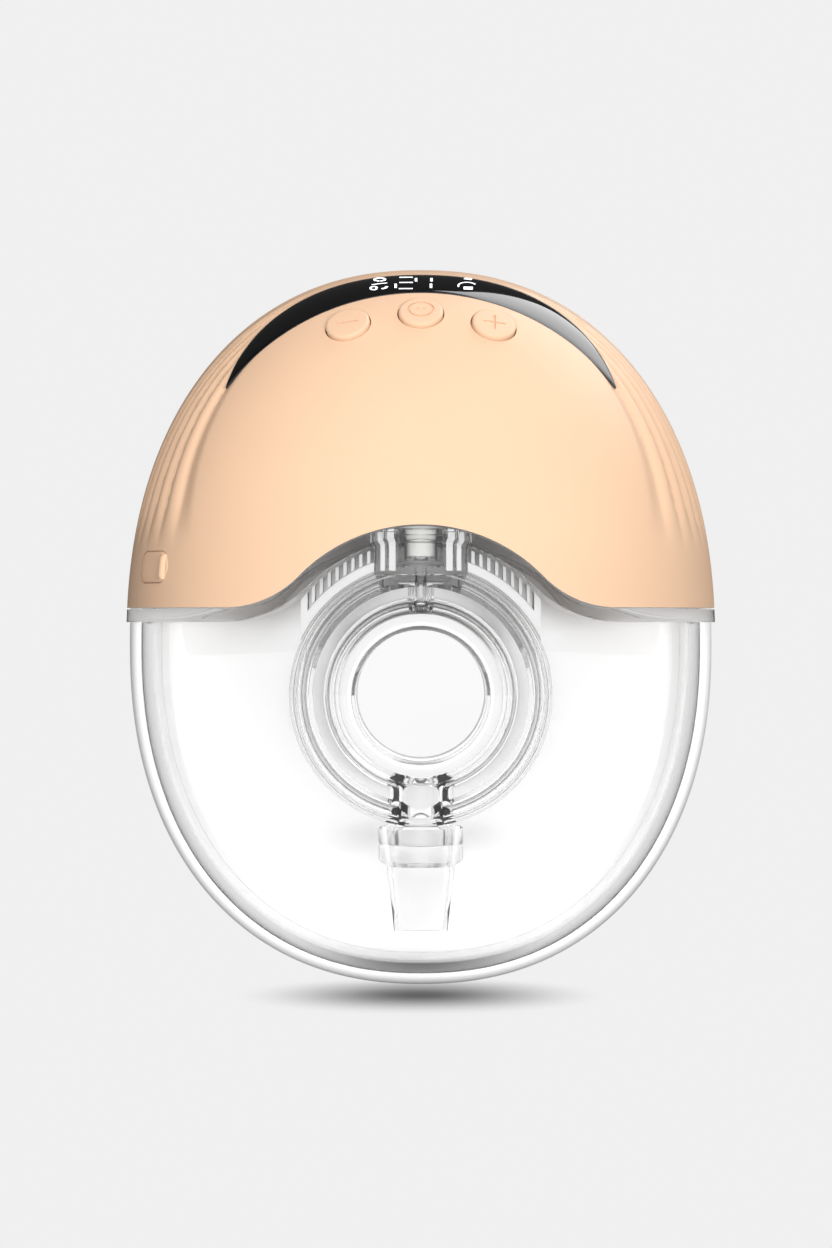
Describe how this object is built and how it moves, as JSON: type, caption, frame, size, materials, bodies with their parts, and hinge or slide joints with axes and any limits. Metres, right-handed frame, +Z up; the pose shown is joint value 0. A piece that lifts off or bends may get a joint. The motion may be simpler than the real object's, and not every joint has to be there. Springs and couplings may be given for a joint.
{
  "type": "wearable breast pump",
  "caption": "Oval wearable breast pump: clear domed milk collector, silicone breast shield and a matt suction unit with crescent display and buttons on top.",
  "frame": {"origin": "centre of the bounding box in plan, at the lowest point of the outline, where it stands upright", "axes": "+Z up towards the display, -Y towards the domed front, +Y towards the wearer, +X to the right seen from the front"},
  "size_m": [0.112, 0.07, 0.1366],
  "materials": {
    "peach_case": "soft-touch matt moulded plastic",
    "peach_silicone": "matt silicone in the case colour",
    "clear_cup": "clear polished polycarbonate",
    "clear_linker": "clear polished polypropylene",
    "silicone": "translucent milky silicone",
    "shield_silicone": "translucent soft silicone",
    "black_lens": "gloss black smoked lens",
    "green_board": "solder mask",
    "amber_flex": "polyimide flexible circuit",
    "black_chip": "moulded epoxy",
    "dark_plastic": "moulded nylon",
    "white_plastic": "moulded acetal",
    "cell_foil": "crimped aluminium laminate pouch",
    "dark_foam": "closed-cell foam",
    "magnet": "sintered ferrite",
    "black_rubber": "moulded rubber",
    "bronze": "sintered bronze",
    "copper": "enamelled copper winding on a steel shaft",
    "steel": "bright plated steel"
  },
  "bodies": {
    "collector": {"milk_collector": "clear_cup", "linker": "clear_linker", "suction_diaphragm": "silicone", "duckbill_valve": "silicone"},
    "shield": {"breast_shield": "shield_silicone"},
    "suction_unit": {"housing_front": "peach_case", "housing_back": "peach_case", "case_screws": "steel", "display_lens": "black_lens", "display_board": "green_board", "switch_board": "amber_flex", "tact_switches": "dark_plastic", "main_board": "green_board", "board_chips": "black_chip", "battery": "cell_foil", "battery_pad": "dark_foam", "motor_can": "steel", "motor_magnets": "magnet", "motor_bush": "bronze", "motor_saddle": "dark_foam", "pump_head": "white_plastic", "pump_wobbler": "white_plastic", "pump_diaphragm": "black_rubber", "pump_cover": "white_plastic", "pump_hose": "silicone", "release_hose": "silicone", "air_port": "white_plastic", "air_port_seal": "black_rubber", "release_valve": "dark_plastic", "release_spring": "steel", "usb_socket": "steel", "charge_board": "green_board"},
    "button_minus": {"button_minus": "peach_case"},
    "button_mode": {"button_mode": "peach_case"},
    "button_plus": {"button_plus": "peach_case"},
    "motor_rotor": {"motor_rotor": "copper", "crank": "dark_plastic"},
    "release_plunger": {"release_plunger": "steel"},
    "usb_cover": {"usb_cover": "peach_silicone"}
  },
  "joints": [
    {"name": "suction_unit_lift", "type": "slide", "parent": "collector", "child": "suction_unit", "axis": [0, 0, 1], "range_m": [0, 0.03]},
    {"name": "shield_pull", "type": "slide", "parent": "collector", "child": "shield", "axis": [0, 1, 0], "range_m": [0, 0.04]},
    {"name": "minus_press", "type": "slide", "parent": "suction_unit", "child": "button_minus", "axis": [0.2022, 0.6545, -0.7285], "range_m": [0, 0.0005], "stiffness_N_per_m": 1500},
    {"name": "mode_press", "type": "slide", "parent": "suction_unit", "child": "button_mode", "axis": [0, 0.6424, -0.7664], "range_m": [0, 0.0005], "stiffness_N_per_m": 1500},
    {"name": "plus_press", "type": "slide", "parent": "suction_unit", "child": "button_plus", "axis": [-0.2022, 0.6545, -0.7285], "range_m": [0, 0.0005], "stiffness_N_per_m": 1500},
    {"name": "motor_spin", "type": "hinge", "parent": "suction_unit", "child": "motor_rotor", "pos_m": [0.013, -0.0065, 0.1058], "axis": [1, 0, 0], "continuous": true},
    {"name": "release_pull", "type": "slide", "parent": "suction_unit", "child": "release_plunger", "axis": [0, 0, -1], "range_m": [0, 0.0015], "stiffness_N_per_m": 200, "deforming": ["release_spring"]},
    {"name": "usb_cover_swing", "type": "hinge", "parent": "suction_unit", "child": "usb_cover", "pos_m": [-0.05195, -0.00271, 0.0799], "axis": [0, 0, -1], "range_deg": [0, 100]}
  ]
}
